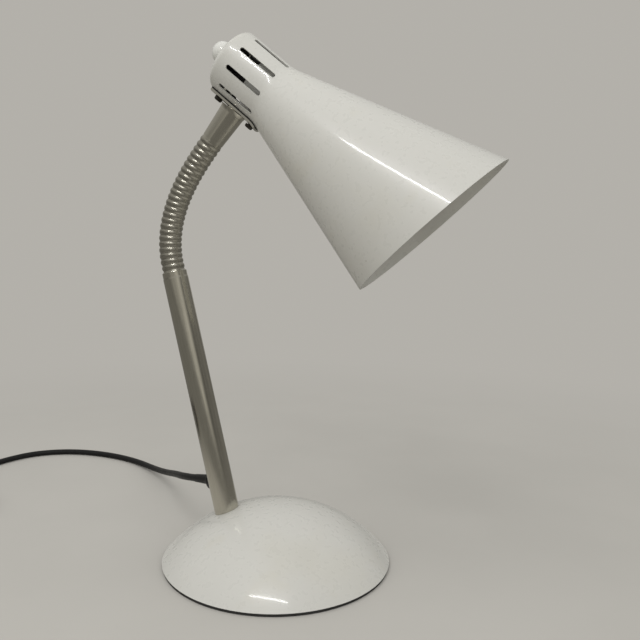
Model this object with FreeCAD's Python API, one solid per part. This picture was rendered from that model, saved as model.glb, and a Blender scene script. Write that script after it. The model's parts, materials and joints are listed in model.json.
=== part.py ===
"""Desk lamp: a domed, weighted base, a leaning steel stem, a flexible ribbed arm and a slotted
conical shade with a push button in its cap. Millimetres, +Z up, origin at the centre of the
base's underside. The lamp is symmetric about the XZ plane and its head reaches towards +X.
"""
import FreeCAD, Part
import math
import os

V = FreeCAD.Vector

# ---- fits and gaps -------------------------------------------------------------------------
fit_gap = 0.05            # radial clearance of a piece fixed in its hole
seat_gap = 0.1            # clearance between a piece and the curved skin that it sits against
ball_gap = 0.15           # radial clearance of a ball in its socket
slide_gap = 0.3           # radial clearance round the push button
floor_gap = 0.05          # lead above the table that it lies on

# ---- base ----------------------------------------------------------------------------------
base_r = 75.0
dome_rise = 33.9
pad_inset = 0.6           # rim of the pad inside the base's rim
pad_t = 2.0
shell_t = 1.2
weight_r = 70.0
weight_t = 12.0
weight_gap = 0.5          # between the weight's rounded top and the painted shell
boss_r = 13.0             # boss of the weight, under the stem

# ---- stem ----------------------------------------------------------------------------------
stem_back = 35.4          # foot of the stem behind the middle of the base
stem_lean = 13.5          # degrees, backwards
stem_r = 8.25
stem_wall = 1.2
stem_len = 164.3
swage_r = 8.05            # slightly drawn-in top of the tube
swage_len = 3.5
swage_taper = 1.2
stem_lip = 0.5            # rounding of the tube's top edge
plug_len = 12.0           # steel plug in the foot of the tube
stud_r = 4.0
washer_r = 8.5
washer_t = 1.6
nut_flats = 13.0
nut_t = 6.5
spot_face = 16.7          # washer seat below the dome's skin, measured along the stem
spot_r = 10.5
stud_end = 0.6            # stud past its nut

# ---- grommet and leads ---------------------------------------------------------------------
cord_r = 2.5
bore_gap = 0.05           # round a lead in its grommet
grommet_up = 19.9         # above the stem's foot, along the tube
grommet_turn = 35.0       # degrees from straight behind, towards +Y
grommet_hole_r = 4.2
grommet_flange_r = 5.2
grommet_flange_t = 2.6
grommet_bell_r = 6.5
grommet_bell_len = 8.0
grommet_root_r = 3.3
grommet_bell_via = (0.32, 0.4)   # middle of its curve, as shares of its narrowing and length
sleeve_tip_r = 2.8
sleeve_len = 22.0         # whole strain relief, from the tube's wall to its tip
stem_lead_bend = 8.0      # bend of the lead from the grommet into the tube
stem_lead_knees = (0.2, 0.5)     # shares of the stem where the lead turns back to its middle

# ---- flexible arm --------------------------------------------------------------------------
links = 12
link_pitch = 7.6
rib_r = 7.45
groove_r = 6.6
rib_width = 2.15
ball_r = 5.2
ball_top = 3.2            # flat top of the ball above its centre
link_bore_r = 3.1
skirt_drop = 1.2          # socket's skirt below the ball's centre
arm_turn = 50.5           # degrees, whole bend of the arm at rest
arm_skew = 0.79           # share by which the lower links bend more
spigot_len = 14.0         # end links' hold in the tube and in the ferrule
ferrule_spigot_r = 5.6

# ---- upper ferrule -------------------------------------------------------------------------
ferrule_len = 25.2
ferrule_low_r = 7.2
ferrule_top_r = 8.3
ferrule_flare_r = 9.1
ferrule_flare_len = 3.2
ferrule_flare_via = (0.33, 0.6)  # middle of the flare's curve, as shares of its widening and length
ferrule_groove_z = 1.2
ferrule_groove_t = 0.6
ferrule_groove_depth = 0.3
ferrule_neck_r = 5.0      # part of the ferrule that is riveted into the bracket plate
head_tilt = 2.4           # degrees by which the shade's axis dips out of square with the ferrule

# ---- shade, along its axis from the start of the slots -------------------------------------
sheet_t = 0.8
cap_apex = -11.4
cap_corner_s = -6.0
cap_corner_r = 3.5
neck_r = 20.85            # outside, at the start of the slots
neck_slope = 0.3          # degrees
cone_slope = 16.0         # degrees
flare_s = 28.5            # where the neck's line and the cone's line would cross
flare_r = 24.0
mouth_s = 157.4
mouth_cut = 8.1           # degrees, shorter on the bracket's side
slot_w = 3.0
slot_len = 27.85
slot_step = 38.2          # degrees between slots, counted from the bracket to both sides
slot_pairs = 4

# ---- bracket on the neck -------------------------------------------------------------------
arm_s = 12.65             # place of the arm's axis along the shade's axis
gasket_t = 0.8
plate_t = 1.2
plate_w = 12.0
plate_top = -5.7
plate_low = 31.9
screw_s = (-0.2, 26.9)
screw_r = 1.5
screw_head_r = 2.7
screw_head_t = 2.2
cross_l = 3.2             # cross recess in a screw's head
cross_w = 0.95
lead_hole_r = 4.0
carrier_t = 1.2
carrier_w = 12.0
carrier_top = -3.6
carrier_low = 30.4
tab_s = 3.0
tab_t = 1.5
tab_w = 20.0
tab_reach = 12.0          # past the shade's axis

# ---- lampholder ----------------------------------------------------------------------------
holder_r = 14.0
holder_spigot_r = 4.9
holder_spigot_up = 3.2
holder_floor_s = 14.0
holder_floor_t = 2.0
holder_tube_r = 9.6
holder_low = 37.0
socket_r = 7.85
holder_nut_flats = 13.0
holder_nut_t = 2.8
shell_out_r = 7.75
shell_in_r = 7.1
shell_top = 18.0
shell_low = 35.0
contact_r = 4.0
contact_t = 0.8
skirt_top = 13.2
skirt_low = 38.0
skirt_top_r = 16.2
skirt_low_r = 17.0
skirt_lip_t = 2.0
terminal_s = 7.0
terminal_depth = 3.0
wire_r = 1.0
wire_side = 1.4           # each wire beside the middle of the lead
wire_run_r = 17.6         # wires between the skirt and the neck
wire_bend = 2.0

# ---- push button and its housing -----------------------------------------------------------
housing_r = 11.0
well_r = 8.6
well_floor = -5.6
nut_recess_r = 8.6
nut_recess_t = 3.6
button_r = 7.2
button_centre = -15.8     # middle of the button's round end
button_in_r = 5.4
button_ceiling = -13.4
button_flange_r = 8.2
button_flange_top = -9.9
button_flange_t = 1.2
spring_r = 4.4
spring_wire_r = 0.4
spring_turns = 4
spring_steps = 8          # runs in each turn of the spring

# ---- mains lead on the table ---------------------------------------------------------------
# points chosen by hand: down from the strain relief, then away along the table to the coil
cord_points = (
    (-99.0, 62.0, 28.5),
    (-127.0, 105.0, 13.5),
    (-152.0, 136.0, 4.8),
    (-180.0, 158.0, 2.55),
    (-211.0, 169.5, 2.55),
    (-243.0, 173.0, 2.55),
    (-269.0, 167.5, 2.55),
    (-290.0, 153.5, 2.55),
    (-301.5, 131.0, 2.55),
    (-307.5, 106.0, 2.55),
    (-309.9, 80.0, 2.55),
)
cord_straight = 18.0      # run in line with the strain relief, and in line with the coil's turn
coil_mid_r = 30.0
coil_rows = 4             # turns beside each other
coil_layers = 2
coil_round = 2.3
coil_stub = 24.0          # straight start of the lead at the coil, from its tangent point
coil_in_turn = 180.0      # degrees round the coil where the lead comes in
coil_out_turn = 217.0     # and where it leaves towards the plug
coil_x = -273.0
coil_y = 11.0

# ---- mains plug ----------------------------------------------------------------------------
plug_sleeve_len = 14.0
plug_sleeve_tip_r = 2.9
plug_sleeve_root_r = 4.6
plug_body_len = 34.0
plug_half_w = 17.5
plug_waist = 7.0
plug_shoulder = 14.0      # where the body reaches its full width
plug_round = 3.0
pin_r = 2.0
pin_len = 19.0
pin_pitch = 19.0
pin_seat = 6.0

# ---- helpers -------------------------------------------------------------------------------
BIG = 400.0               # reach of a cutting block, past everything that it cuts
tiny = 1e-6               # shorter runs of an outline are left out
corner_share = 0.45       # share of the shorter run that a corner's arc takes


def sin(deg):
    return math.sin(math.radians(deg))


def cos(deg):
    return math.cos(math.radians(deg))


def tan(deg):
    return math.tan(math.radians(deg))


def unit(vector):
    return V(vector) * (1.0 / vector.Length)


class Frame:
    """A place in the lamp: origin, z along the piece and x towards its side."""

    def __init__(self, origin, z, x):
        self.origin = origin
        self.z = unit(z)
        self.y = unit(self.z.cross(x))
        self.x = self.y.cross(self.z)

    def point(self, x, y, z):
        return self.origin + self.x * x + self.y * y + self.z * z

    def put(self, shape):
        """The shape, drawn about the world's axes, moved into this frame."""
        x, y, z, o = self.x, self.y, self.z, self.origin
        matrix = FreeCAD.Matrix(x.x, y.x, z.x, o.x, x.y, y.y, z.y, o.y, x.z, y.z, z.z, o.z, 0, 0, 0, 1)
        moved = shape.copy()
        moved.Placement = FreeCAD.Placement(matrix).multiply(shape.Placement)
        return moved


def rod(r, z0, z1, at=(0, 0)):
    """A cylinder from z0 to z1 about the z axis or about a line beside it."""
    return Part.makeCylinder(r, z1 - z0, V(at[0], at[1], z0))


def side_rod(r, x0, x1, y, z):
    """A cylinder along x."""
    return Part.makeCylinder(r, x1 - x0, V(x0, y, z), V(1, 0, 0))


def block(x0, x1, y0, y1, z0, z1):
    return Part.makeBox(x1 - x0, y1 - y0, z1 - z0, V(x0, y0, z0))


def spin(items):
    """Revolve a closed outline of (r, z) points; (r, z, "via") is the middle of an arc."""
    points = [(V(item[0], 0, item[1]), len(item) > 2) for item in items]
    points.append(points[0])
    edges = []
    start = points[0][0]
    via = None
    for point, is_via in points[1:]:
        if is_via:
            via = point
            continue
        if via:
            edges.append(Part.Arc(start, via, point).toShape())
        elif (point - start).Length > tiny:
            edges.append(Part.LineSegment(start, point).toShape())
        start = point
        via = None
    return Part.Face(Part.Wire(edges)).revolve(V(0, 0, 0), V(0, 0, 1), 360)


def hexagon(flats, z0, z1):
    corner = flats / 2 / cos(30)
    points = [V(corner * cos(60 * k), corner * sin(60 * k), z0) for k in range(7)]
    return Part.Face(Part.makePolygon(points)).extrude(V(0, 0, z1 - z0))


def rounded_path(points, radii=None):
    """Straight runs joined by tangent arcs, each of them sized by its runs unless a radius is
    given. Returns the wire and the radii."""
    edges = []
    used = []
    at = points[0]
    for i in range(1, len(points) - 1):
        before = points[i] - points[i - 1]
        after = points[i + 1] - points[i]
        half = before.getAngle(after) / 2
        reach = corner_share * min(before.Length, after.Length)
        if radii and radii[i - 1]:
            reach = radii[i - 1] * math.tan(half)
        radius = reach / math.tan(half)
        start = points[i] - unit(before) * reach
        end = points[i] + unit(after) * reach
        inward = unit(unit(after) - unit(before))
        middle = points[i] + inward * (radius / math.cos(half) - radius)
        if (start - at).Length > tiny:
            edges.append(Part.LineSegment(at, start).toShape())
        edges.append(Part.Arc(start, middle, end).toShape())
        used.append(radius)
        at = end
    edges.append(Part.LineSegment(at, points[-1]).toShape())
    return Part.Wire(edges), used


def lead(points, r, radii=None):
    """A round lead swept along a rounded path."""
    wire, used = rounded_path(points, radii)
    ring = Part.Wire(Part.makeCircle(r, points[0], points[1] - points[0]))
    solid = wire.makePipeShell([ring], True, False)
    return solid, wire, used


def save(node, *shapes):
    solids = [solid for shape in shapes for solid in shape.Solids]
    whole = solids[0] if len(solids) == 1 else Part.makeCompound(solids)
    if not whole.isValid():
        print("not valid:", node)
    whole.exportStep("parts/" + node + ".step")
    print(node, len(solids), "solid(s)", round(whole.Volume, 1), "mm3")


# ---- places --------------------------------------------------------------------------------
dome_r = (base_r ** 2 + dome_rise ** 2) / (2 * dome_rise)
dome_centre = V(0, 0, pad_t + dome_rise - dome_r)


def dome_z(x):
    return dome_centre.z + math.sqrt(dome_r ** 2 - x ** 2)


stem_foot = V(-stem_back, 0, dome_z(stem_back))
stem = Frame(stem_foot, V(-sin(stem_lean), 0, cos(stem_lean)), V(1, 0, 0))
tube_in_r = stem_r - stem_wall
grommet_at = stem.point(0, 0, grommet_up)
grommet_way = stem.x * -cos(grommet_turn) + stem.y * sin(grommet_turn)
grommet = Frame(grommet_at, grommet_way, stem.z)
sleeve_end = stem_r + sleeve_len


def arm_angles():
    """Lean of each link from upright, in degrees, forwards positive."""
    middle = links / 2
    angles = [-stem_lean]
    for k in range(1, links):
        angles.append(angles[-1] + arm_turn / (links - 1) * (1 + arm_skew * (1 - k / middle)))
    return angles


link_lean = arm_angles()


def arm_frames():
    """Frame of each link at its lower ball centre; the last entry is the end of the chain."""
    at = stem.point(0, 0, stem_len + skirt_drop)
    frames = []
    for lean in link_lean:
        way = V(sin(lean), 0, cos(lean))
        frames.append(Frame(at, way, V(1, 0, 0)))
        at = at + way * link_pitch
    return frames


arm = arm_frames()
ferrule = Frame(arm[-1].point(0, 0, link_pitch - skirt_drop), arm[-1].z, V(1, 0, 0))


def neck_out_r(s):
    return neck_r + s * tan(neck_slope)


# skins of the bracket's layers, measured outwards from the shade's outside
gasket_in = fit_gap
gasket_out = gasket_in + gasket_t
plate_in = gasket_out + fit_gap
plate_out = plate_in + plate_t
carrier_out = -sheet_t - fit_gap
carrier_in = carrier_out - carrier_t

shade_way = ferrule.x * cos(head_tilt) - ferrule.z * sin(head_tilt)
shade_up = ferrule.z * cos(head_tilt) + ferrule.x * sin(head_tilt)
head_origin = (ferrule.point(0, 0, ferrule_len) + shade_up * (neck_out_r(arm_s) + plate_out)
               - shade_way * arm_s)
head = Frame(head_origin, shade_way, shade_up * -1)


# ---- base ----------------------------------------------------------------------------------
def dome(r, z0):
    """A solid cap of a sphere about the dome's centre, above height z0."""
    ball = Part.makeSphere(r, dome_centre)
    return ball.common(block(-BIG, BIG, -BIG, BIG, z0, BIG))


def make_base():
    save("base_pad", rod(base_r - pad_inset, 0, pad_t))
    stud_hole = stem.put(rod(stud_r + fit_gap, -BIG, BIG))
    shell = dome(dome_r, pad_t).cut(dome(dome_r - shell_t, -BIG)).cut(stud_hole)
    save("base_shell", shell)
    weight = rod(weight_r, pad_t, pad_t + weight_t).common(dome(dome_r - shell_t - weight_gap, pad_t))
    boss = stem.put(rod(boss_r, -spot_face, 0)).common(dome(dome_r - shell_t - fit_gap, pad_t))
    spot = stem.put(rod(spot_r, -BIG, -spot_face))
    save("base_weight", weight.fuse(boss).cut(stud_hole).cut(spot).removeSplitter())


# ---- stem ----------------------------------------------------------------------------------
def make_stem():
    swage_z = stem_len - swage_len
    profile = [(tube_in_r, -stem_r), (stem_r, -stem_r), (stem_r, swage_z - swage_taper),
               (swage_r, swage_z), (swage_r, stem_len - stem_lip),
               (swage_r - stem_lip * (1 - cos(45)), stem_len - stem_lip * (1 - sin(45)), "via"),
               (swage_r - stem_lip, stem_len), (tube_in_r, stem_len)]
    over_dome = Part.makeSphere(dome_r + fit_gap, dome_centre)
    hole = grommet.put(rod(grommet_hole_r, 0, BIG))
    save("stem_tube", stem.put(spin(profile)).cut(over_dome).cut(hole))
    plug = rod(tube_in_r - fit_gap, -stem_r, plug_len).cut(rod(stud_r + fit_gap, -BIG, BIG))
    save("stem_foot_plug", stem.put(plug).cut(over_dome))
    nut_low = spot_face + washer_t + nut_t
    save("stem_stud", stem.put(rod(stud_r, -nut_low - stud_end, plug_len - stem_wall)))
    bore = rod(stud_r + fit_gap, -BIG, BIG)
    save("stem_washer", stem.put(rod(washer_r, -spot_face - washer_t, -spot_face).cut(bore)))
    save("stem_nut", stem.put(hexagon(nut_flats, -nut_low, -spot_face - washer_t).cut(bore)))


def make_grommet():
    flange_z = tube_in_r - grommet_flange_t
    flange = rod(grommet_flange_r, flange_z, stem_r)
    flange = grommet.put(flange).common(stem.put(rod(tube_in_r - fit_gap, 0, 2 * grommet_up)))
    neck = grommet.put(rod(grommet_hole_r - fit_gap, flange_z, stem_r + fit_gap))
    bell_end = stem_r + grommet_bell_len
    bend = grommet_bell_r - grommet_root_r
    via_r, via_z = grommet_bell_via
    profile = [(0, 0), (grommet_bell_r, 0), (grommet_bell_r, stem_r),
               (grommet_root_r + via_r * bend, stem_r + via_z * grommet_bell_len, "via"),
               (grommet_root_r, bell_end), (sleeve_tip_r, sleeve_end), (0, sleeve_end)]
    outside = grommet.put(spin(profile)).cut(stem.put(rod(stem_r + fit_gap, -BIG, BIG)))
    bore = grommet.put(rod(cord_r + bore_gap, 0, BIG))
    outside = max(outside.Solids, key=lambda solid: solid.Volume)
    save("cord_grommet", outside.fuse(neck).fuse(flange).cut(bore).removeSplitter())


def make_stem_lead():
    offset = stem_lead_bend / 2
    side = [grommet.point(0, 0, sleeve_end), grommet.point(0, 0, -offset)]
    low_share, high_share = stem_lead_knees
    up = [grommet.point(stem_len * low_share, 0, -offset), grommet.point(stem_len * high_share, 0, 0)]
    top = stem.point(0, 0, stem_len - spigot_len - seat_gap)
    solid, _, _ = lead(side + up + [top], cord_r, [stem_lead_bend, None, None])
    save("stem_lead", solid)


# ---- flexible arm --------------------------------------------------------------------------
def ribs():
    """The outside of one link from the skirt's edge up, with its two round ribs."""
    low = -skirt_drop
    second = low + link_pitch / 2
    outline = []
    for z in (low, second):
        outline += [(groove_r, z), (rib_r, z + rib_width / 2, "via"), (groove_r, z + rib_width)]
    return outline, second + rib_width


def make_arm():
    outline, body_top = ribs()
    low = -skirt_drop
    bore = rod(link_bore_r, -BIG, BIG)
    socket = Part.makeSphere(ball_r + ball_gap)
    ball = Part.makeSphere(ball_r, V(0, 0, link_pitch))
    ball = ball.common(rod(2 * ball_r, 0, link_pitch + ball_top))
    body = spin([(0, low)] + outline + [(0, body_top)])
    for k in range(links):
        solid = body
        if k == 0:
            solid = solid.fuse(rod(tube_in_r - fit_gap, low - spigot_len, low))
        if k < links - 1:
            solid = solid.fuse(ball)
        else:
            solid = solid.fuse(rod(groove_r, body_top, link_pitch - skirt_drop))
            solid = solid.fuse(rod(ferrule_spigot_r, body_top, link_pitch - skirt_drop + spigot_len))
        if k > 0:
            solid = solid.cut(socket)
        save("arm_link_%02d" % (k + 1), arm[k].put(solid.cut(bore).removeSplitter()))
    start = stem.point(0, 0, stem_len - spigot_len - seat_gap)
    knees = [frame.origin for frame in arm[1:]]
    end = ferrule.point(0, 0, spigot_len)
    solid, _, _ = lead([start] + knees + [end], cord_r)
    save("arm_lead", solid)


# ---- shade ---------------------------------------------------------------------------------
def flare():
    """Start of the flare on the neck's outside and the centre of its curve, as (r, s)."""
    tangent = flare_r * tan((cone_slope - neck_slope) / 2)
    start = (neck_out_r(flare_s) - tangent * sin(neck_slope), flare_s - tangent * cos(neck_slope))
    return start, (start[0] + flare_r * cos(neck_slope), start[1] - flare_r * sin(neck_slope))


def outside_r(s, offset):
    """Radius at s of the shade's outside, moved outwards by offset, along its neck and flare."""
    start, centre = flare()
    if s < start[1]:
        return neck_out_r(s) + offset / cos(neck_slope)
    return centre[0] - math.sqrt((flare_r - offset) ** 2 - (s - centre[1]) ** 2)


def skin(offset):
    """The shade's outside from its apex to past its mouth, moved outwards by offset: points and
    arc middles of (r, s), and the radius of the skin along its cone."""
    corner = (neck_out_r(cap_corner_s) - cap_corner_r / cos(neck_slope), cap_corner_s)
    rise = cap_corner_s - cap_apex
    cap_r = (corner[0] ** 2 + rise ** 2 - cap_corner_r ** 2) / (2 * (rise - cap_corner_r))
    cap_s = cap_apex + cap_r
    edge = math.degrees(math.atan2(corner[0], cap_s - corner[1]))
    round_r = cap_corner_r + offset

    def on_cap(turn):
        return ((cap_r + offset) * sin(turn), cap_s - (cap_r + offset) * cos(turn))

    def on_corner(turn):
        return (corner[0] + round_r * sin(turn), corner[1] - round_r * cos(turn))

    square = 90 - neck_slope
    _, centre = flare()

    def on_flare(slope):
        r = flare_r - offset
        return (centre[0] - r * cos(slope), centre[1] + r * sin(slope))

    past_mouth = mouth_s + neck_r
    last = on_flare(cone_slope)
    out = last[0] + (past_mouth - last[1]) * tan(cone_slope)
    return [on_cap(0), on_cap(edge / 2) + ("via",), on_cap(edge),
            on_corner((edge + square) / 2) + ("via",), on_corner(square),
            on_flare(neck_slope), on_flare((neck_slope + cone_slope) / 2) + ("via",),
            last, (out, past_mouth)]


def layer(inner, outer):
    """The sheet between two offsets of the shade's outside, closed round the axis."""
    return spin(skin(outer) + skin(inner)[::-1])


def neck_line(offset):
    """The skin's line along the neck, the flare and the cone. Above the neck it runs on straight."""
    _, _, _, _, (r, s), *rest = skin(offset)
    above = 2 * plate_top
    return [(r - (s - above) * tan(neck_slope), above)] + rest


def neck_strip(inner, outer, top, low, width):
    """A strip of such a sheet on the bracket's side."""
    ring = spin(neck_line(outer) + neck_line(inner)[::-1])
    return ring.common(block(0, BIG, -width / 2, width / 2, top, low))


def make_shade():
    sheet = layer(-sheet_t, 0)
    mouth = block(-BIG, BIG, -BIG, BIG, 0, BIG)
    mouth.rotate(V(0, 0, 0), V(0, 1, 0), mouth_cut)
    mouth.translate(V(0, 0, mouth_s))
    sheet = sheet.cut(mouth)
    half = slot_w / 2
    cutters = [rod(button_r + slide_gap, 2 * cap_apex, 0)]
    slot = block(0, 2 * neck_r, -half, half, half, slot_len - half)
    for end in (half, slot_len - half):
        slot = slot.fuse(side_rod(half, 0, 2 * neck_r, 0, end))
    for k in range(1, slot_pairs + 1):
        for turn in (k * slot_step, -k * slot_step):
            cutter = slot.copy()
            cutter.rotate(V(0, 0, 0), V(0, 0, 1), turn)
            cutters.append(cutter)
    cutters += [side_rod(screw_r + fit_gap, 0, 2 * neck_r, 0, s) for s in screw_s]
    cutters.append(side_rod(lead_hole_r, 0, 2 * neck_r, 0, arm_s))
    for cutter in cutters:
        sheet = sheet.cut(cutter)
    save("shade", head.put(sheet))


# ---- bracket and ferrule -------------------------------------------------------------------
def make_bracket():
    screws = [side_rod(screw_r + fit_gap, 0, 2 * neck_r, 0, s) for s in screw_s]
    pass_hole = side_rod(lead_hole_r, 0, 2 * neck_r, 0, arm_s)
    neck_hole = ferrule.put(rod(ferrule_neck_r + fit_gap, 0, ferrule_len + neck_r))
    plate = neck_strip(plate_in, plate_out, plate_top, plate_low, plate_w)
    gasket = neck_strip(gasket_in, gasket_out, plate_top, plate_low, plate_w)
    for hole in screws:
        plate = plate.cut(hole)
        gasket = gasket.cut(hole)
    save("bracket_plate", head.put(plate).cut(neck_hole))
    save("bracket_gasket", head.put(gasket.cut(pass_hole)))
    strip = neck_strip(carrier_in, carrier_out, carrier_top, carrier_low, carrier_w)
    tab = block(-tab_reach, neck_r, -tab_w / 2, tab_w / 2, tab_s, tab_s + tab_t)
    tab = tab.common(rod(neck_out_r(tab_s) + (carrier_in + carrier_out) / 2, 0, BIG))
    carrier = strip.fuse(tab).cut(rod(holder_spigot_r + fit_gap, -BIG, BIG)).cut(pass_hole)
    for hole in screws:
        carrier = carrier.cut(hole)
    save("lampholder_carrier", head.put(carrier.removeSplitter()))
    fasteners = []
    for s in screw_s:
        seat = outside_r(s + screw_head_r, plate_out)
        shank_end = neck_out_r(s) + carrier_in - screw_r
        crown = side_rod(screw_head_r, seat, seat + screw_head_t, 0, s)
        crown = crown.makeFillet(screw_head_t / 2, [crown.Edges[edge] for edge in far_edges(crown)])
        cross = block(seat + screw_head_t / 2, BIG, -cross_w / 2, cross_w / 2,
                      s - cross_l / 2, s + cross_l / 2)
        turned = cross.copy()
        turned.rotate(V(0, 0, s), V(1, 0, 0), 90)
        shank = side_rod(screw_r, shank_end, seat, 0, s)
        fasteners.append(head.put(crown.cut(cross).cut(turned).fuse(shank).removeSplitter()))
    save("bracket_screws", *fasteners)


def far_edges(solid):
    """Indices of the round edges at the solid's largest x."""
    far = solid.BoundBox.XMax
    return [i for i, edge in enumerate(solid.Edges)
            if edge.BoundBox.XMin > far - tiny and edge.Closed]


def make_ferrule():
    groove_z = ferrule_groove_z
    groove_r_in = ferrule_low_r - ferrule_groove_depth
    flare_z = ferrule_len - ferrule_flare_len
    widening = ferrule_flare_r - ferrule_top_r
    via_r, via_z = ferrule_flare_via
    profile = [(0, 0), (ferrule_low_r, 0), (ferrule_low_r, groove_z), (groove_r_in, groove_z),
               (groove_r_in, groove_z + ferrule_groove_t), (ferrule_low_r, groove_z + ferrule_groove_t),
               (ferrule_top_r, flare_z),
               (ferrule_top_r + via_r * widening, flare_z + via_z * ferrule_flare_len, "via"),
               (ferrule_flare_r, ferrule_len), (0, ferrule_len)]
    plate_line = neck_line(plate_out + fit_gap)
    inside_plate = spin([(0, plate_line[0][1])] + plate_line + [(0, plate_line[-1][1])])
    body = ferrule.put(spin(profile)).cut(head.put(inside_plate))
    body = max(body.Solids, key=lambda solid: solid.Volume)
    neck_end = ferrule_len + plate_t - seat_gap - ferrule_neck_r * sin(head_tilt)
    neck = ferrule.put(rod(ferrule_neck_r, flare_z, neck_end))
    bore = ferrule.put(rod(ferrule_spigot_r + fit_gap, 0, spigot_len + seat_gap))
    lead_bore = ferrule.put(rod(link_bore_r, 0, BIG))
    save("upper_ferrule", body.fuse(neck).cut(bore).cut(lead_bore).removeSplitter())


# ---- lampholder ----------------------------------------------------------------------------
def make_lampholder():
    seat = tab_s + tab_t
    cavity = holder_floor_s + holder_floor_t
    body = rod(holder_r, seat, holder_floor_s)
    body = body.fuse(rod(holder_spigot_r, seat - tab_t - holder_spigot_up, seat))
    body = body.fuse(rod(holder_tube_r, holder_floor_s, holder_low))
    body = body.cut(rod(socket_r, cavity, BIG))
    for side in (-wire_side, wire_side):
        hole = side_rod(wire_r + seat_gap, holder_r - terminal_depth, BIG, side, terminal_s)
        body = body.cut(hole)
    save("lampholder_body", head.put(body.removeSplitter()))
    nut = hexagon(holder_nut_flats, tab_s - holder_nut_t, tab_s)
    save("lampholder_nut", head.put(nut.cut(rod(holder_spigot_r + fit_gap, -BIG, BIG))))
    grip = holder_r + ball_gap
    lip = holder_tube_r + ball_gap
    skirt = spin([(grip, skirt_top), (skirt_top_r, skirt_top), (skirt_low_r, skirt_low),
                  (lip, skirt_low), (lip, skirt_low - skirt_lip_t), (grip, skirt_low - skirt_lip_t)])
    save("lampholder_skirt", head.put(skirt))
    shell = rod(shell_out_r, shell_top, shell_low).cut(rod(shell_in_r, -BIG, BIG))
    save("screw_shell", head.put(shell))
    save("centre_contact", head.put(rod(contact_r, cavity, cavity + contact_t)))


def make_head_lead():
    sheath = ferrule.put(rod(cord_r, spigot_len, ferrule_len + plate_t))
    depth = holder_r - terminal_depth + seat_gap
    start = neck_out_r(arm_s) + plate_out
    wires = []
    for side in (-wire_side, wire_side):
        route = [V(start, side, arm_s), V(wire_run_r, side, arm_s), V(wire_run_r, side, terminal_s),
                 V(depth, side, terminal_s)]
        wire, _, _ = lead(route, wire_r, [wire_bend, wire_bend])
        wires.append(head.put(wire))
    save("head_lead", sheath.fuse(wires[0]).fuse(wires[1]))


# ---- push button ---------------------------------------------------------------------------
def make_button():
    inner = skin(-sheet_t - seat_gap)
    under_cap = spin(inner + [(0, inner[-1][1])])
    housing = rod(housing_r, 2 * cap_apex, tab_s).common(under_cap)
    housing = housing.cut(rod(well_r, 2 * cap_apex, well_floor))
    housing = housing.cut(rod(nut_recess_r, tab_s - nut_recess_t, tab_s))
    save("switch_housing", head.put(housing))
    flange_low = button_flange_top + button_flange_t
    tip = button_centre - button_r
    knob = spin([(0, tip), (button_r * cos(45), button_centre - button_r * sin(45), "via"),
                 (button_r, button_centre), (button_r, button_flange_top),
                 (button_flange_r, button_flange_top), (button_flange_r, flange_low),
                 (button_in_r, flange_low), (button_in_r, button_ceiling), (0, button_ceiling)])
    save("switch_button", head.put(knob))
    height = well_floor - button_ceiling - 2 * spring_wire_r - 2 * fit_gap
    low = button_ceiling + spring_wire_r + fit_gap
    runs = spring_turns * spring_steps
    coil = [V(spring_r * cos(360 * k / spring_steps), spring_r * sin(360 * k / spring_steps),
              low + height * k / runs) for k in range(runs + 1)]
    spring, _, _ = lead(coil, spring_wire_r)
    save("switch_spring", head.put(spring))


# ---- mains lead ----------------------------------------------------------------------------
low_z = cord_r + floor_gap
top_z = low_z + (coil_layers - 1) * 2 * low_z
coil_out_r = coil_mid_r + (coil_rows - 1) * cord_r
coil_centre = V(coil_x, coil_y, 0)


def coil_tangent(turn, z, way):
    """The point of the coil's outer turn at an angle, and a frame along the lead there."""
    point = coil_centre + V(coil_out_r * cos(turn), coil_out_r * sin(turn), z)
    return Frame(point, V(-sin(turn), cos(turn), 0) * way, V(0, 0, 1))


def make_mains_cord():
    lead_in = coil_tangent(coil_in_turn, low_z, -1)
    lead_out = coil_tangent(coil_out_turn, top_z, 1)
    start = grommet.point(0, 0, sleeve_end)
    route = [start, grommet.point(0, 0, sleeve_end + cord_straight)]
    route += [V(*point) for point in cord_points]
    route += [lead_in.point(0, 0, coil_stub + cord_straight), lead_in.point(0, 0, coil_stub)]
    solid, wire, radii = lead(route, cord_r)
    print("mains cord: length", round(wire.Length, 1), "radii", [round(r) for r in radii])
    print("mains cord: volume over section x length",
          round(solid.Volume / (math.pi * cord_r ** 2 * wire.Length), 4))
    save("mains_cord", solid)
    reach = coil_rows * cord_r
    ring = rod(coil_mid_r + reach, floor_gap, top_z + cord_r)
    ring = ring.cut(rod(coil_mid_r - reach, -BIG, BIG))
    rims = [edge for edge in ring.Edges if edge.Closed and len(edge.Vertexes) == 1]
    ring = ring.makeFillet(coil_round, rims)
    ring.translate(coil_centre)
    stubs = [frame.put(rod(cord_r, 0, coil_stub)) for frame in (lead_in, lead_out)]
    save("cord_coil", ring.fuse(stubs[0]).fuse(stubs[1]).removeSplitter())
    whole = 2 * math.pi * coil_mid_r * coil_layers * coil_rows
    missing = (360 - coil_out_turn + coil_in_turn) / 360 * 2 * math.pi * coil_out_r
    print("lead with its coil: about", round(wire.Length + whole - missing + 2 * coil_stub), "mm")
    return lead_out


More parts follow.
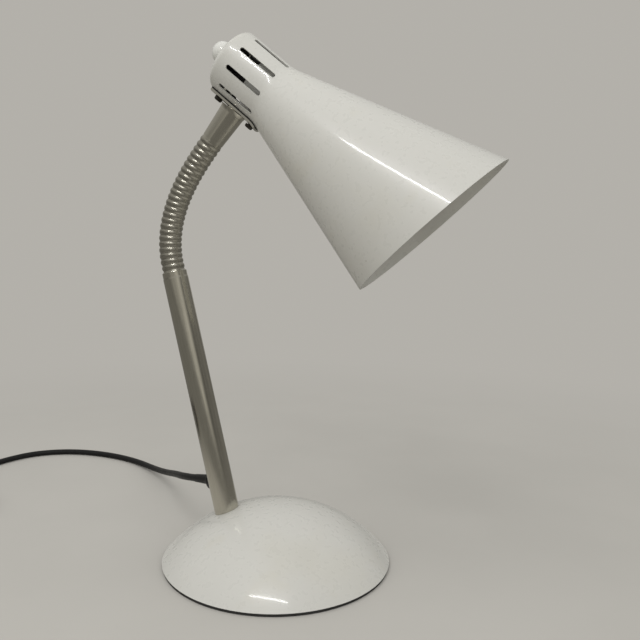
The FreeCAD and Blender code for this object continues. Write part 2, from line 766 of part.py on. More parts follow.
def make_plug(lead_out):
    """A flat two-pin plug with a tapered sleeve, lying on the table."""
    place = Frame(lead_out.point(0, 0, coil_stub), lead_out.z, lead_out.z.cross(V(0, 0, 1)))
    body_z = plug_sleeve_len
    front = body_z + plug_body_len
    shoulder = body_z + plug_shoulder
    half_t = top_z - floor_gap
    corners = [(-plug_waist, body_z), (plug_waist, body_z), (plug_half_w, shoulder),
               (plug_half_w, front), (-plug_half_w, front), (-plug_half_w, shoulder)]
    points = [V(x, -half_t, z) for x, z in corners + corners[:1]]
    body = Part.Face(Part.makePolygon(points)).extrude(V(0, 2 * half_t, 0))
    body = body.makeFillet(plug_round, body.Edges)
    sleeve = Part.makeCone(plug_sleeve_tip_r, plug_sleeve_root_r, body_z + plug_round)
    body = body.fuse(sleeve)
    pins = []
    for side in (-pin_pitch / 2, pin_pitch / 2):
        body = body.cut(rod(pin_r + fit_gap, front - pin_seat, BIG, (side, 0)))
        pin = rod(pin_r, front - pin_seat, front + pin_len, (side, 0))
        tips = [edge for edge in pin.Edges if edge.Closed and edge.BoundBox.ZMin > front]
        pins.append(place.put(pin.makeFillet(pin_r / 2, tips)))
    save("plug_body", place.put(body.removeSplitter()))
    save("plug_pins", *pins)


def main():
    os.makedirs("parts", exist_ok=True)
    make_base()
    make_stem()
    make_grommet()
    make_stem_lead()
    make_arm()
    make_ferrule()
    make_bracket()
    make_shade()
    make_lampholder()
    make_head_lead()
    make_button()
    make_plug(make_mains_cord())


main()
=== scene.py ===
"""Looks of the desk lamp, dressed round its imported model. Metres, +Z up, the lamp's own frame."""

import json
import math
import bpy
from mathutils import Matrix, Vector

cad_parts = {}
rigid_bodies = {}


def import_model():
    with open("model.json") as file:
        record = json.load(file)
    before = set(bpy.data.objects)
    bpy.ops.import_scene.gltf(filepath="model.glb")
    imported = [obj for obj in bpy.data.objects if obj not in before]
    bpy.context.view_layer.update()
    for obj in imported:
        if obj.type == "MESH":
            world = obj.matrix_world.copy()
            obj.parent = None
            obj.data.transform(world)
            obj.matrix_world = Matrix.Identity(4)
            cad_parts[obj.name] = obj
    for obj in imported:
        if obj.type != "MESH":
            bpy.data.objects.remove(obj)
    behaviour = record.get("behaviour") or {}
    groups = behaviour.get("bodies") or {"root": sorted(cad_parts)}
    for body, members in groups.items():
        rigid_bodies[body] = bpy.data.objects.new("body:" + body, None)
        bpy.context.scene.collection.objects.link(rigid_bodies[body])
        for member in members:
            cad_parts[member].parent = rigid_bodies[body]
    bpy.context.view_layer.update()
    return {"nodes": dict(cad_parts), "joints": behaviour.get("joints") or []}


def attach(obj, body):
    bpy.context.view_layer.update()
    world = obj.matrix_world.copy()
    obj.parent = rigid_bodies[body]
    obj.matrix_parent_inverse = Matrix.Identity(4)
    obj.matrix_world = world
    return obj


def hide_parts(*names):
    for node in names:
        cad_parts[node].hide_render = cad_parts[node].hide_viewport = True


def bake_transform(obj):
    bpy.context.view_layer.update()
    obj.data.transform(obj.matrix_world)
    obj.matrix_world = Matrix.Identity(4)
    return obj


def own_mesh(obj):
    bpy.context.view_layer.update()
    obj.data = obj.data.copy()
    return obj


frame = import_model()
nodes = frame["nodes"]
joints = {joint["name"]: joint for joint in frame["joints"]}

# ---- camera --------------------------------------------------------------------------------
CAMERA_AT = (0.10554, -0.40775, 0.1981)
CAMERA_TURN = 11.044      # degrees, to the left of straight ahead
CAMERA_DROP = 5.146
CAMERA_ROLL = 1.30
SENSOR = 36.0
FOCAL_PIXELS = 650.0
FRAME_PIXELS = 640.0

# ---- mains lead ----------------------------------------------------------------------------
CORD_R = 0.0025
STEM_LEAN = 13.5          # degrees, backwards
GROMMET_TURN = 35.0       # degrees from straight behind
SLEEVE_END = (-0.064140, 0.017351, 0.042984)
STRAIGHT_RUN = 0.018
CORD_POINTS = (
    (-0.0990, 0.0620, 0.0285),
    (-0.1270, 0.1050, 0.0135),
    (-0.1520, 0.1360, 0.0048),
    (-0.1800, 0.1580, 0.00255),
    (-0.2110, 0.1695, 0.00255),
    (-0.2430, 0.1730, 0.00255),
    (-0.2690, 0.1675, 0.00255),
    (-0.2900, 0.1535, 0.00255),
    (-0.3015, 0.1310, 0.00255),
    (-0.3075, 0.1060, 0.00255),
    (-0.3099, 0.0800, 0.00255),
    (-0.3105, 0.0530, 0.00255),
    (-0.3105, 0.0350, 0.00255),
)
COIL_AT = (-0.273, 0.011)
COIL_ROWS = (0.0375, 0.0325, 0.0275, 0.0225)
COIL_LAYERS = (0.00255, 0.00765)
COIL_IN = 180.0           # degrees round the coil where the lead comes in
COIL_OUT = 217.0
COIL_STUB = 0.024         # straight run from the coil to the plug
STUB_SHARES = (0.6, 1.0)  # of that run, where it has points
COIL_STEPS = 24           # points for one turn
ROW_CHANGE = 75.0         # degrees in which a turn moves over to the next row

# ---- flexible arm --------------------------------------------------------------------------
LINK_PITCH = 0.0076
RIB_PITCH = LINK_PITCH / 2
RIB_R = 0.00745
GROOVE_R = 0.0069
RIB_SHARE = 0.84          # of the pitch; the rest is the bottom of the groove
RIB_POINTS = 10           # runs over one rib
ARM_BORE_R = 0.0031
CORE_BORE_R = CORD_R / 10
BORE_RUNS = 4             # along a bore
ARM_STEPS = 72            # round the arm
TINY = 1e-6
ARM_DRESS = (("brushed_steel", "arm_steel"), ("black_pvc", "black_pvc"))     # of its skin and core
TUBE_SPIGOT_R = 0.0070
FERRULE_SPIGOT_R = 0.0056
SPIGOT_LEN = 0.014
SKIRT_DROP = 0.0012       # of a link below its ball's centre
FERRULE_LEAN = 37.0       # degrees, forwards

# ---- shade's push button -------------------------------------------------------------------
HEAD_AT = (-0.028553, 0.0, 0.318935)
SHADE_DIP = 39.4          # degrees of the shade's axis below level
SPRING_R = 0.0044
SPRING_WIRE_R = 0.0004
SPRING_TURNS = 4
SPRING_STEPS = 16         # points for one turn
SPRING_TOP = -0.01295     # along the shade's axis
SPRING_LOW = -0.00605

# ---- light ---------------------------------------------------------------------------------
BACKDROP = (0.452, 0.436, 0.402)
FAR_FLOOR = (0.20, 0.193, 0.175)    # as the steel reflects it
FLOOR_REACH = 6.0
FLOOR_CHANGE = 0.015      # share by which the floor's tone varies
SEEN_FADE = (0.22, 0.9)   # distances over which the lit floor turns into the backdrop
MIRRORED_FADE = (0.09, 0.30)        # and into the far floor, in reflections
ROOM_LIGHT = (0.80, 0.80, 0.79)
ROOM_TINT = (1.0, 0.965, 0.88)      # of the room's bands
CEILING = (0.42, 0.41, 0.385)
CEILING_FADE = (0.12, 0.65)         # heights over which the bands turn into the ceiling
# the room's brightness round the lamp, as seen in reflections: shares of a whole turn, from -X
# round by -Y (the camera's side), +X and +Y (the backdrop)
ROOM_BANDS = (
    (0.02, 0.17), (0.08, 0.15), (0.15, 0.25), (0.21, 0.36), (0.27, 0.36), (0.32, 0.50),
    (0.355, 0.58), (0.385, 0.44), (0.42, 0.17), (0.455, 0.12), (0.48, 0.18), (0.53, 0.16),
    (0.61, 0.21), (0.67, 0.15), (0.75, 0.35), (0.87, 0.35), (0.96, 0.18),
)
OVERHEAD_AT = (-0.25, -0.55, 1.35)
OVERHEAD_TARGET = (0.0, 0.0, 0.1)
OVERHEAD_SIZE = (1.1, 1.1)
OVERHEAD_WATTS = 5.0
STRIP_AT = (0.03, -0.36, 0.60)
STRIP_TARGET = (0.03, 0.0, 0.15)
STRIP_SIZE = (0.34, 0.012)
STRIP_WATTS = 0.55

# ---- finishes ------------------------------------------------------------------------------
SATIN_STEEL = (0.58, 0.558, 0.485)
PLATE_STEEL = (0.60, 0.585, 0.53)
BRUSH_STRETCH = 40.0      # length of a brush line against its width
BRUSH_SHADE = 0.92        # of a steel's colour, between its brush lines
BRUSH_DEPTH = 0.000006
SPOT_CORE = 0.45          # share of a spot that is fully there


# ---- helpers -------------------------------------------------------------------------------
def leaning(degrees):
    """Direction in the lamp's middle plane, forwards from upright."""
    return Vector((math.sin(math.radians(degrees)), 0.0, math.cos(math.radians(degrees))))


def place_in_scene(name, data):
    item = bpy.data.objects.new(name, data)
    bpy.context.scene.collection.objects.link(item)
    return item


def smooth_step(share):
    share = min(1.0, max(0.0, share))
    return share * share * (3.0 - 2.0 * share)


def sweep(name, place, outline):
    """A closed round skin along a line in the middle plane. place(t) is the point and direction
    at t; outline has (t, radius, sharp) all round the section."""
    side = Vector((0.0, 1.0, 0.0))
    points = []
    for t, radius, _ in outline:
        at, way = place(t)
        across = side.cross(way)
        for step in range(ARM_STEPS):
            turn = math.tau * step / ARM_STEPS
            points.append(at + across * (radius * math.cos(turn)) + side * (radius * math.sin(turn)))
    faces = []
    rings = len(outline)
    for ring in range(rings):
        after = (ring + 1) % rings
        for step in range(ARM_STEPS):
            beside = (step + 1) % ARM_STEPS
            faces.append((ring * ARM_STEPS + step, ring * ARM_STEPS + beside,
                          after * ARM_STEPS + beside, after * ARM_STEPS + step))
    mesh = bpy.data.meshes.new(name)
    mesh.from_pydata(points, [], faces)
    mesh.shade_smooth()
    sharp_rings = {ring for ring in range(rings) if outline[ring][2]}
    for edge in mesh.edges:
        first, second = (vertex // ARM_STEPS for vertex in edge.vertices)
        edge.use_edge_sharp = first == second and first in sharp_rings
    return place_in_scene(name, mesh)


# ---- node materials ------------------------------------------------------------------------
class Finish:
    """A node material with one Principled shader, and short ways to add to it."""

    def __init__(self, name, color, roughness, metallic=0.0, **sockets):
        self.material = bpy.data.materials.new(name)
        self.material.use_nodes = True
        self.tree = self.material.node_tree
        self.shader = self.tree.nodes["Principled BSDF"]
        self.shader.inputs["Base Color"].default_value = (*color, 1.0)
        self.shader.inputs["Roughness"].default_value = roughness
        self.shader.inputs["Metallic"].default_value = metallic
        for socket, value in sockets.items():
            self.shader.inputs[socket.replace("_", " ")].default_value = value
        self.place = self.node("ShaderNodeTexCoord").outputs["Object"]

    def node(self, kind, **settings):
        made = self.tree.nodes.new(kind)
        for key, value in settings.items():
            setattr(made, key, value)
        return made

    def link(self, source, target):
        self.tree.links.new(source, target)

    def mapped(self, scale, lean=0.0):
        """The lamp's coordinates, turned so that z runs along a piece that leans forwards."""
        mapping = self.node("ShaderNodeMapping", vector_type="TEXTURE")
        mapping.inputs["Rotation"].default_value = (0.0, math.radians(lean), 0.0)
        mapping.inputs["Scale"].default_value = scale
        self.link(self.place, mapping.inputs["Vector"])
        return mapping.outputs["Vector"]

    def noise(self, scale, detail=2.0, vector=None):
        texture = self.node("ShaderNodeTexNoise")
        texture.inputs["Scale"].default_value = scale
        texture.inputs["Detail"].default_value = detail
        self.link(vector or self.place, texture.inputs["Vector"])
        return texture.outputs["Fac"]

    def spots(self, scale, size):
        """1 inside small round spots, one in each cell of a random pattern."""
        cells = self.node("ShaderNodeTexVoronoi", feature="F1")
        cells.inputs["Scale"].default_value = scale
        self.link(self.place, cells.inputs["Vector"])
        return self.between(cells.outputs["Distance"], size, size * SPOT_CORE, 0.0, 1.0)

    def between(self, value, low, high, out_low, out_high):
        ranged = self.node("ShaderNodeMapRange", interpolation_type="SMOOTHSTEP")
        limits = {"From Min": low, "From Max": high, "To Min": out_low, "To Max": out_high}
        for socket, number in limits.items():
            ranged.inputs[socket].default_value = number
        self.link(value, ranged.inputs["Value"])
        return ranged.outputs["Result"]

    def times(self, first, second):
        product = self.node("ShaderNodeMath", operation="MULTIPLY")
        self.link(first, product.inputs[0])
        self.link(second, product.inputs[1])
        return product.outputs[0]

    def mixed(self, factor, first, second):
        """first where factor is 0 and second where it is 1; each is a colour or an output."""
        mix = self.node("ShaderNodeMix", data_type="RGBA")
        self.link(factor, mix.inputs[0])
        for socket, value in ((mix.inputs[6], first), (mix.inputs[7], second)):
            if isinstance(value, tuple):
                socket.default_value = (*value, 1.0)
            else:
                self.link(value, socket)
        return mix.outputs[2]

    def paint(self, output):
        self.link(output, self.shader.inputs["Base Color"])

    def gloss(self, output):
        self.link(output, self.shader.inputs["Roughness"])

    def bump(self, height, depth):
        """Relief of a given depth in metres."""
        bump = self.node("ShaderNodeBump")
        bump.inputs["Strength"].default_value = 1.0
        bump.inputs["Distance"].default_value = depth
        self.link(height, bump.inputs["Height"])
        self.link(bump.outputs["Normal"], self.shader.inputs["Normal"])


def cream_paint():
    """Gloss enamel, very slightly yellowed in places, with a few dirt specks under a clear skin."""
    finish = Finish("cream_paint", (0.56, 0.55, 0.51), 0.3, Coat_Weight=0.5, Coat_Roughness=0.07)
    aged = finish.between(finish.noise(14.0, 3.0), 0.50, 0.72, 0.0, 1.0)
    color = finish.mixed(aged, (0.555, 0.547, 0.507), (0.545, 0.533, 0.480))
    stain = finish.between(finish.noise(46.0, 4.0), 0.60, 0.74, 0.0, 0.10)
    color = finish.mixed(stain, color, (0.49, 0.45, 0.33))
    dirty = finish.between(finish.noise(31.0), 0.60, 0.66, 0.0, 0.7)
    specks = finish.times(finish.spots(70.0, 0.045), dirty)
    color = finish.mixed(specks, color, (0.20, 0.165, 0.11))
    finish.paint(color)
    finish.gloss(finish.between(finish.noise(260.0, 3.0), 0.3, 0.7, 0.26, 0.34))
    finish.bump(finish.noise(420.0, 2.0), 0.000012)
    return finish.material


def steel(name, lean, color):
    """Satin steel, brushed along a piece that leans by some degrees."""
    finish = Finish(name, color, 0.3, 1.0)
    along = finish.mapped((1.0, 1.0, BRUSH_STRETCH), lean)
    lines = finish.noise(2600.0, 2.0, along)
    patches = finish.noise(160.0, 3.0)
    shade = tuple(channel * BRUSH_SHADE for channel in color)
    finish.paint(finish.mixed(finish.between(lines, 0.38, 0.62, 0.0, 1.0), shade, color))
    finish.gloss(finish.between(patches, 0.3, 0.7, 0.15, 0.19))
    finish.bump(lines, BRUSH_DEPTH)
    return finish.material


def brushed_steel():
    return steel("brushed_steel", -STEM_LEAN, SATIN_STEEL)


def ferrule_steel():
    return steel("ferrule_steel", FERRULE_LEAN, SATIN_STEEL)


def plate_steel():
    return steel("plate_steel", SHADE_DIP + 90.0, PLATE_STEEL)


def arm_steel():
    """Wound steel strip: satin, with fine rub marks."""
    finish = Finish("arm_steel", (0.58, 0.55, 0.47), 0.28, 1.0)
    worn = finish.noise(900.0, 4.0)
    rubbed = finish.between(worn, 0.35, 0.65, 0.0, 1.0)
    finish.paint(finish.mixed(rubbed, (0.40, 0.385, 0.33), (0.47, 0.45, 0.39)))
    finish.gloss(finish.between(finish.noise(420.0, 2.0), 0.3, 0.7, 0.26, 0.34))
    finish.bump(worn, 0.000008)
    return finish.material


def plain_steel():
    """Zinc-plated steel with a faint spangle."""
    finish = Finish("plain_steel", (0.55, 0.55, 0.54), 0.34, 1.0)
    cells = finish.noise(500.0, 2.0)
    finish.paint(finish.mixed(cells, (0.47, 0.47, 0.46), (0.62, 0.62, 0.60)))
    finish.bump(cells, 0.00002)
    return finish.material


def dark_screw():
    """Blackened screw steel, rubbed brown in patches."""
    finish = Finish("dark_screw", (0.07, 0.065, 0.055), 0.36, 0.85)
    rubbed = finish.between(finish.noise(900.0, 3.0), 0.45, 0.7, 0.0, 1.0)
    finish.paint(finish.mixed(rubbed, (0.05, 0.046, 0.04), (0.13, 0.115, 0.085)))
    finish.bump(finish.noise(1400.0, 2.0), 0.00002)
    return finish.material


def cast_iron():
    """Rough sand casting."""
    finish = Finish("cast_iron", (0.14, 0.14, 0.145), 0.72, 0.4)
    grain = finish.noise(700.0, 5.0)
    finish.paint(finish.mixed(grain, (0.09, 0.09, 0.095), (0.20, 0.195, 0.19)))
    finish.bump(grain, 0.00025)
    return finish.material


def black_rubber():
    """Matt foam rubber of the base's pad; on the bracket's gasket its black is partly painted shadow of
    the gap between the flat bracket and the round neck.
    """
    finish = Finish("black_rubber", (0.022, 0.021, 0.02), 0.78)
    grain = finish.noise(1500.0, 3.0)
    finish.paint(finish.mixed(grain, (0.014, 0.0135, 0.013), (0.032, 0.031, 0.029)))
    finish.bump(grain, 0.00005)
    return finish.material


def black_pvc():
    """Satin flexible PVC of the leads, the strain relief and the plug."""
    finish = Finish("black_pvc", (0.012, 0.012, 0.012), 0.5, Specular_IOR_Level=0.25)
    scuffs = finish.noise(330.0, 4.0)
    finish.paint(finish.mixed(scuffs, (0.007, 0.007, 0.007), (0.018, 0.0175, 0.017)))
    finish.gloss(finish.between(scuffs, 0.35, 0.7, 0.42, 0.58))
    finish.bump(finish.noise(1100.0, 2.0), 0.00003)
    return finish.material


def white_plastic():
    """Gloss moulded plastic of the push button and the lampholder's skirt, with fine handling marks."""
    finish = Finish("white_plastic", (0.62, 0.615, 0.58), 0.2, Coat_Weight=0.3, Coat_Roughness=0.1)
    marks = finish.noise(300.0, 4.0)
    finish.paint(finish.mixed(marks, (0.60, 0.595, 0.555), (0.66, 0.655, 0.62)))
    finish.gloss(finish.between(marks, 0.35, 0.7, 0.15, 0.3))
    finish.bump(finish.noise(900.0, 2.0), 0.00001)
    return finish.material


def black_plastic():
    """Moulded phenolic plastic of the lampholder."""
    finish = Finish("black_plastic", (0.02, 0.02, 0.02), 0.42)
    flow = finish.noise(240.0, 4.0)
    finish.paint(finish.mixed(flow, (0.013, 0.0125, 0.012), (0.034, 0.032, 0.03)))
    finish.gloss(finish.between(flow, 0.35, 0.7, 0.34, 0.52))
    finish.bump(finish.noise(1300.0, 2.0), 0.00002)
    return finish.material


def brass():
    """Stamped brass, a little tarnished."""
    finish = Finish("brass", (0.60, 0.44, 0.19), 0.3, 1.0)
    tarnish = finish.between(finish.noise(380.0, 4.0), 0.4, 0.7, 0.0, 1.0)
    finish.paint(finish.mixed(tarnish, (0.64, 0.48, 0.21), (0.38, 0.27, 0.13)))
    finish.gloss(finish.between(finish.noise(700.0, 2.0), 0.3, 0.7, 0.24, 0.42))
    finish.bump(finish.noise(900.0, 2.0), 0.00001)
    return finish.material


def dress(material, *names):
    for name in names:
        item = nodes[name]
        item.data.materials.clear()
        item.data.materials.append(material)


# ---- camera --------------------------------------------------------------------------------
def make_camera():
    turn, drop, roll = (math.radians(value) for value in (CAMERA_TURN, CAMERA_DROP, CAMERA_ROLL))
    ahead = Vector((-math.sin(turn) * math.cos(drop), math.cos(turn) * math.cos(drop), -math.sin(drop)))
    level = Vector((math.cos(turn), math.sin(turn), 0.0))
    upright = level.cross(ahead)
    right = level * math.cos(roll) + upright * math.sin(roll)
    up = upright * math.cos(roll) - level * math.sin(roll)
    data = bpy.data.cameras.new("camera")
    data.sensor_width = SENSOR
    data.lens = SENSOR * FOCAL_PIXELS / FRAME_PIXELS
    camera = place_in_scene("camera", data)
    camera.matrix_world = Matrix.Translation(CAMERA_AT) @ Matrix((right, up, -ahead)).transposed().to_4x4()
    bpy.context.scene.camera = camera


# ---- mains lead ----------------------------------------------------------------------------
def coil_points():
    """The coil's turns: in along the lower layer, up at the inner row and out along the upper."""
    rows = COIL_ROWS + COIL_ROWS[::-1]
    layers = (COIL_LAYERS[0],) * len(COIL_ROWS) + (COIL_LAYERS[1],) * len(COIL_ROWS)
    whole = 360.0 * (len(rows) - 1) + COIL_OUT - COIL_IN
    steps = round(whole / 360.0 * COIL_STEPS)
    step = whole / steps
    outside = 1.0 / math.cos(math.radians(step / 2))
    points = []
    for k in range(steps + 2):
        travelled = min(max((k - 0.5) * step, 0.0), whole)
        turn = int(travelled // 360.0)
        change = smooth_step((travelled % 360.0 - 360.0 + ROW_CHANGE) / ROW_CHANGE)
        after = min(turn + 1, len(rows) - 1)
        radius = (rows[turn] + (rows[after] - rows[turn]) * change) * outside
        height = layers[turn] + (layers[after] - layers[turn]) * change
        angle = math.radians(COIL_IN + (k - 0.5) * step)
        across, along = radius * math.cos(angle), radius * math.sin(angle)
        points.append((COIL_AT[0] + across, COIL_AT[1] + along, height))
    return points


def make_mains_lead():
    lean, turn = math.radians(STEM_LEAN), math.radians(GROMMET_TURN)
    way = Vector((-math.cos(lean) * math.cos(turn), math.sin(turn), -math.sin(lean) * math.cos(turn)))
    leaving = math.radians(COIL_OUT)
    tangent = Vector((COIL_AT[0] + COIL_ROWS[0] * math.cos(leaving),
                      COIL_AT[1] + COIL_ROWS[0] * math.sin(leaving),
                      COIL_LAYERS[1]))
    onward = Vector((-math.sin(leaving), math.cos(leaving), 0.0))
    route = [Vector(SLEEVE_END), Vector(SLEEVE_END) + way * STRAIGHT_RUN]
    route += [Vector(point) for point in CORD_POINTS + tuple(coil_points())]
    route += [tangent + onward * (COIL_STUB * share) for share in STUB_SHARES]
    curve = bpy.data.curves.new("mains_lead", "CURVE")
    curve.dimensions = "3D"
    curve.bevel_depth = CORD_R
    curve.bevel_resolution = 6
    curve.resolution_u = 6
    curve.use_fill_caps = True
    spline = curve.splines.new("NURBS")
    spline.points.add(len(route) - 1)
    for point, place in zip(spline.points, route):
        point.co = (*place, 1.0)
    spline.order_u = 3
    spline.use_endpoint_u = True
    curve.materials.append(finishes["black_pvc"])
    lead = place_in_scene("mains_lead", curve)
    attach(lead, "root")
    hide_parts("mains_cord", "cord_coil")


# ---- flexible arm --------------------------------------------------------------------------
def arm_joints():
    """The joints along the arm from the stem up, as (place, lower body, upper body)."""
    found = []
    body = "root"
    while body != "head":
        joint = next(each for each in joints.values() if each["parent"] == body)
        found.append((Vector(joint["pos_m"]), body, joint["child"]))
        body = joint["child"]
    return found


def rib_radius(t):
    """Radius of the wound skin, where a groove's middle lies at t = 0."""
    share = (t / RIB_PITCH) % 1.0
    edge = (1.0 - RIB_SHARE) / 2
    if not edge < share < 1.0 - edge:
        return GROOVE_R
    half = RIB_PITCH * RIB_SHARE / 2
    rise = RIB_R - GROOVE_R
    round_r = (half * half + rise * rise) / (2 * rise)
    off = (share - 0.5) * RIB_PITCH
    return RIB_R - round_r + math.sqrt(round_r * round_r - off * off)


def ribbed(low, high):
    """(t, radius) of the ribs from low to high."""
    edge = (1.0 - RIB_SHARE) / 2
    shares = [0.0] + [edge + RIB_SHARE * k / RIB_POINTS for k in range(RIB_POINTS + 1)]
    first = math.floor(low / RIB_PITCH)
    found = [(low, rib_radius(low), True)]
    for rib in range(first, math.ceil(high / RIB_PITCH) + 1):
        for share in shares:
            t = (rib + share) * RIB_PITCH
            if low + TINY < t < high - TINY:
                found.append((t, rib_radius(t), False))
    found.append((high, rib_radius(high), True))
    return found


def bored(outline, bore_r):
    """The outline closed by a straight bore, from its end back to its start."""
    low = outline[0][0]
    span = outline[-1][0] - low
    for k in range(BORE_RUNS + 1):
        outline = outline + [(low + span * (1.0 - k / BORE_RUNS), bore_r, k in (0, BORE_RUNS))]
    return outline


def bend_place(centre, below, above, half):
    """Places along the arc that touches both links' lines at half a link from their joint."""
    turn = below.angle(above)
    side = Vector((0.0, 1.0, 0.0))
    sign = 1.0 if side.dot(below.cross(above)) > 0 else -1.0
    radius = half / math.tan(turn / 2)
    inward = (side.cross(below) * sign)
    start = centre - below * half

    def place(t):
        angle = turn * (t + half) / (2 * half)
        way = below * math.cos(angle) + inward * math.sin(angle)
        at = start + below * (radius * math.sin(angle)) + inward * (radius * (1 - math.cos(angle)))
        return at, way

    return place


def straight_place(start, way):
    return lambda t: (start + way * t, way)


def make_arm():
    found = arm_joints()
    half = LINK_PITCH / 2
    stem_way, ferrule_way = leaning(-STEM_LEAN), leaning(FERRULE_LEAN)
    centres = [centre for centre, _, _ in found]
    ways = [stem_way] + [(after - before).normalized() for before, after in zip(centres, centres[1:])]
    ways.append(ferrule_way)
    for k, (centre, lower, upper) in enumerate(found):
        place = bend_place(centre, ways[k], ways[k + 1], half)
        skin = sweep(f"arm_skin_{k + 1:02d}", place, bored(ribbed(-half, half), ARM_BORE_R))
        core = sweep(f"arm_core_{k + 1:02d}", place, core_outline(-half, half))
        for piece, (slot, material) in zip((skin, core), ARM_DRESS):
            piece.data.materials.append(finishes[material])
            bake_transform(piece)
        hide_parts(f"arm_link_{k + 2:02d}")
        if k == 0:
            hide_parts("arm_lead")
    foot_seam = centres[0] - stem_way * half
    head_seam = centres[-1] + ferrule_way * half
    end_piece("arm_foot", "root", foot_seam, stem_way, -1.0, TUBE_SPIGOT_R, "arm_link_01")
    end_piece("arm_head", "head", head_seam, ferrule_way, 1.0, FERRULE_SPIGOT_R, "arm_link_12")


def core_outline(low, high):
    """The lead inside the arm, closed by a hair-thin bore."""
    return bored([(low, CORD_R, True), (high, CORD_R, True)], CORE_BORE_R)


def end_piece(name, body, seam, way, sign, spigot_r, node):
    """The fixed end of the arm: its last ribs and the spigot in the tube or in the ferrule."""
    free = (LINK_PITCH / 2 + SKIRT_DROP) if sign < 0 else (LINK_PITCH / 2 - SKIRT_DROP)
    tip = free + SPIGOT_LEN
    if sign < 0:
        outline = [(-tip, spigot_r, True), (-free, spigot_r, True)] + ribbed(-free, 0.0)
    else:
        outline = ribbed(0.0, free) + [(free, spigot_r, True), (tip, spigot_r, True)]
    place = straight_place(seam, way)
    skin = sweep(name, place, bored(outline, ARM_BORE_R))
    core = sweep(name + "_core", place, core_outline(min(0.0, sign * tip), max(0.0, sign * tip)))
    for piece, (slot, material) in zip((skin, core), ARM_DRESS):
        piece.data.materials.append(finishes[material])
        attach(piece, body)
    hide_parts(node)


# ---- spring of the push button -------------------------------------------------------------
def make_spring():
    """The button's spring, a coil of wire round the button's axis."""
    way = Vector(joints["button_press"]["axis"]).normalized()
    side = Vector((0.0, 1.0, 0.0))
    across = side.cross(way)
    head = Vector(HEAD_AT)
    steps = SPRING_TURNS * SPRING_STEPS
    curve = bpy.data.curves.new("spring", "CURVE")
    curve.dimensions = "3D"
    curve.bevel_depth = SPRING_WIRE_R
    curve.bevel_resolution = 3
    curve.use_fill_caps = True
    spline = curve.splines.new("POLY")
    spline.points.add(steps)
    for k, point in enumerate(spline.points):
        turn = math.tau * k / SPRING_STEPS
        along = SPRING_TOP + (SPRING_LOW - SPRING_TOP) * k / steps
        out = across * (SPRING_R * math.cos(turn)) + side * (SPRING_R * math.sin(turn))
        point.co = (*(head + way * along + out), 1.0)
    wound = place_in_scene("spring_line", curve)
    mesh = bpy.data.meshes.new_from_object(wound.evaluated_get(bpy.context.evaluated_depsgraph_get()))
    bpy.data.objects.remove(wound)
    spring = place_in_scene("button_spring", mesh)
    mesh.materials.clear()
    mesh.materials.append(finishes["plain_steel"])
    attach(spring, "head")
    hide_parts("switch_spring")
    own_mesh(spring)


# ---- floor and light -----------------------------------------------------------------------
def make_floor():
    """A pale floor: lit and shadowed near the lamp, and far off the backdrop's plain colour to the
    eye and a darker one in reflections."""
    mesh = bpy.data.meshes.new("floor")
    corners = [(x * FLOOR_REACH, y * FLOOR_REACH, 0.0) for x, y in ((-1, -1), (1, -1), (1, 1), (-1, 1))]
    mesh.from_pydata(corners, [], [(0, 1, 2, 3)])
    floor = place_in_scene("floor", mesh)
    finish = Finish("floor", BACKDROP, 0.9, Specular_IOR_Level=0.1)
    cloth = finish.noise(9.0, 4.0)
    finish.paint(finish.mixed(finish.between(cloth, 0.3, 0.7, 0.0, 1.0),
                              tuple(channel * (1.0 - FLOOR_CHANGE) for channel in BACKDROP),
                              tuple(channel * (1.0 + FLOOR_CHANGE) for channel in BACKDROP)))
    far = finish.node("ShaderNodeVectorMath", operation="LENGTH")
    finish.link(finish.place, far.inputs[0])
    path = finish.node("ShaderNodeLightPath")
    seen = finish.node("ShaderNodeMath", operation="MAXIMUM")
    finish.link(path.outputs["Is Camera Ray"], seen.inputs[0])
    finish.link(path.outputs["Is Glossy Ray"], seen.inputs[1])
    plain = finish.node("ShaderNodeEmission")
    finish.link(finish.mixed(path.outputs["Is Glossy Ray"], BACKDROP, FAR_FLOOR), plain.inputs["Color"])
    blend = finish.node("ShaderNodeMixShader")
    to_eye = finish.between(far.outputs["Value"], *SEEN_FADE, 0.0, 1.0)
    to_gloss = finish.between(far.outputs["Value"], *MIRRORED_FADE, 0.0, 1.0)
    fade_out = finish.mixed(path.outputs["Is Glossy Ray"], to_eye, to_gloss)
    finish.link(finish.times(fade_out, seen.outputs[0]), blend.inputs[0])
    finish.link(finish.shader.outputs[0], blend.inputs[1])
    finish.link(plain.outputs[0], blend.inputs[2])
    finish.link(blend.outputs[0], finish.tree.nodes["Material Output"].inputs["Surface"])
    mesh.materials.append(finish.material)


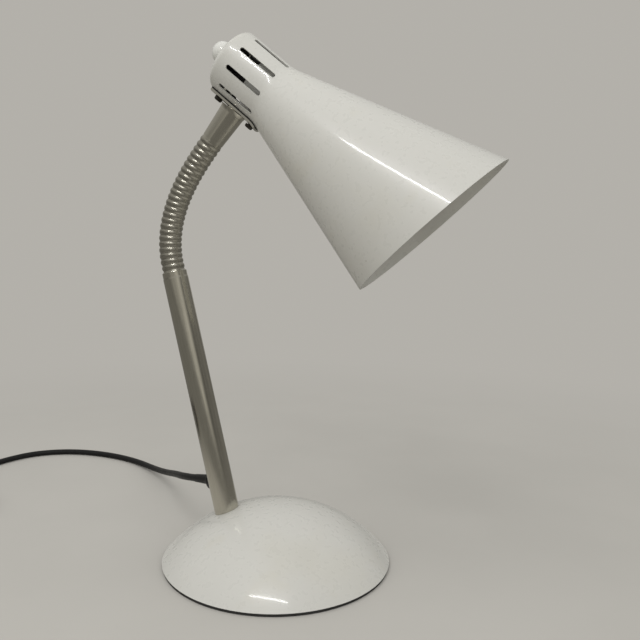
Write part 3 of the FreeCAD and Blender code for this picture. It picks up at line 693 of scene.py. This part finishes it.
def make_world():
    """A soft room: even light on everything, the plain backdrop for the eye, and for reflections
    a room with brighter and darker sides."""
    world = bpy.data.worlds.new("room")
    bpy.context.scene.world = world
    world.use_nodes = True
    tree = world.node_tree
    tree.nodes.clear()

    def node(kind, **settings):
        made = tree.nodes.new(kind)
        for key, value in settings.items():
            setattr(made, key, value)
        return made

    def mixed(factor, first, second):
        mix = node("ShaderNodeMix", data_type="RGBA")
        tree.links.new(factor, mix.inputs[0])
        for socket, value in ((mix.inputs[6], first), (mix.inputs[7], second)):
            if isinstance(value, tuple):
                socket.default_value = (*value, 1.0)
            else:
                tree.links.new(value, socket)
        return mix.outputs[2]

    way = node("ShaderNodeTexCoord").outputs["Generated"]
    radial = node("ShaderNodeTexGradient", gradient_type="RADIAL")
    tree.links.new(way, radial.inputs["Vector"])
    ring = node("ShaderNodeValToRGB")
    tree.links.new(radial.outputs["Fac"], ring.inputs["Fac"])
    bands = ring.color_ramp
    bands.interpolation = "EASE"
    for position, level in ROOM_BANDS:
        stop = bands.elements.new(position)
        stop.color = (*(level * channel for channel in ROOM_TINT), 1.0)
    bands.elements.remove(bands.elements[0])
    bands.elements.remove(bands.elements[-1])
    height = node("ShaderNodeSeparateXYZ")
    tree.links.new(way, height.inputs[0])
    upward = node("ShaderNodeMapRange", interpolation_type="SMOOTHSTEP")
    upward.inputs["From Min"].default_value = CEILING_FADE[0]
    upward.inputs["From Max"].default_value = CEILING_FADE[1]
    tree.links.new(height.outputs["Z"], upward.inputs["Value"])
    room = mixed(upward.outputs["Result"], ring.outputs["Color"], CEILING)
    path = node("ShaderNodeLightPath")
    lit = mixed(path.outputs["Is Glossy Ray"], ROOM_LIGHT, room)
    eye = node("ShaderNodeMath", operation="MAXIMUM")
    tree.links.new(path.outputs["Is Camera Ray"], eye.inputs[0])
    tree.links.new(path.outputs["Is Transmission Ray"], eye.inputs[1])
    seen = mixed(eye.outputs[0], lit, BACKDROP)
    background = node("ShaderNodeBackground")
    tree.links.new(seen, background.inputs["Color"])
    tree.links.new(background.outputs[0], node("ShaderNodeOutputWorld").inputs["Surface"])


def area_light(name, at, target, size, watts, in_gloss):
    data = bpy.data.lights.new(name, "AREA")
    data.shape = "RECTANGLE"
    data.size, data.size_y = size
    data.energy = watts
    light = place_in_scene(name, data)
    light.location = at
    light.rotation_mode = "QUATERNION"
    light.rotation_quaternion = (Vector(target) - Vector(at)).to_track_quat("-Z", "Y")
    light.visible_glossy = in_gloss


def make_lights():
    area_light("overhead", OVERHEAD_AT, OVERHEAD_TARGET, OVERHEAD_SIZE, OVERHEAD_WATTS, False)
    area_light("strip", STRIP_AT, STRIP_TARGET, STRIP_SIZE, STRIP_WATTS, True)


# ---- making --------------------------------------------------------------------------------
finishes = {maker.__name__: maker() for maker in (
    cream_paint, brushed_steel, ferrule_steel, plate_steel, arm_steel, plain_steel, dark_screw, cast_iron,
    black_rubber, black_pvc, white_plastic, black_plastic, brass)}
make_camera()
make_mains_lead()
make_arm()
make_spring()
dress(finishes["cream_paint"], "base_shell", "shade")
dress(finishes["brushed_steel"], "stem_tube")
dress(finishes["ferrule_steel"], "upper_ferrule")
dress(finishes["plate_steel"], "bracket_plate", "lampholder_carrier")
dress(finishes["plain_steel"], "stem_foot_plug", "stem_stud", "stem_washer", "stem_nut", "lampholder_nut")
dress(finishes["dark_screw"], "bracket_screws")
dress(finishes["cast_iron"], "base_weight")
# the gasket's black is partly painted shadow: the dark line between the flat bracket and the neck is
# mostly the gap's shade
dress(finishes["black_rubber"], "base_pad", "bracket_gasket")
dress(finishes["black_pvc"], "cord_grommet", "stem_lead", "head_lead", "plug_body")
dress(finishes["white_plastic"], "switch_button", "lampholder_skirt")
dress(finishes["black_plastic"], "switch_housing", "lampholder_body")
dress(finishes["brass"], "screw_shell", "centre_contact", "plug_pins")
make_floor()
make_world()
make_lights()
bpy.context.scene.view_settings.view_transform = "Standard"
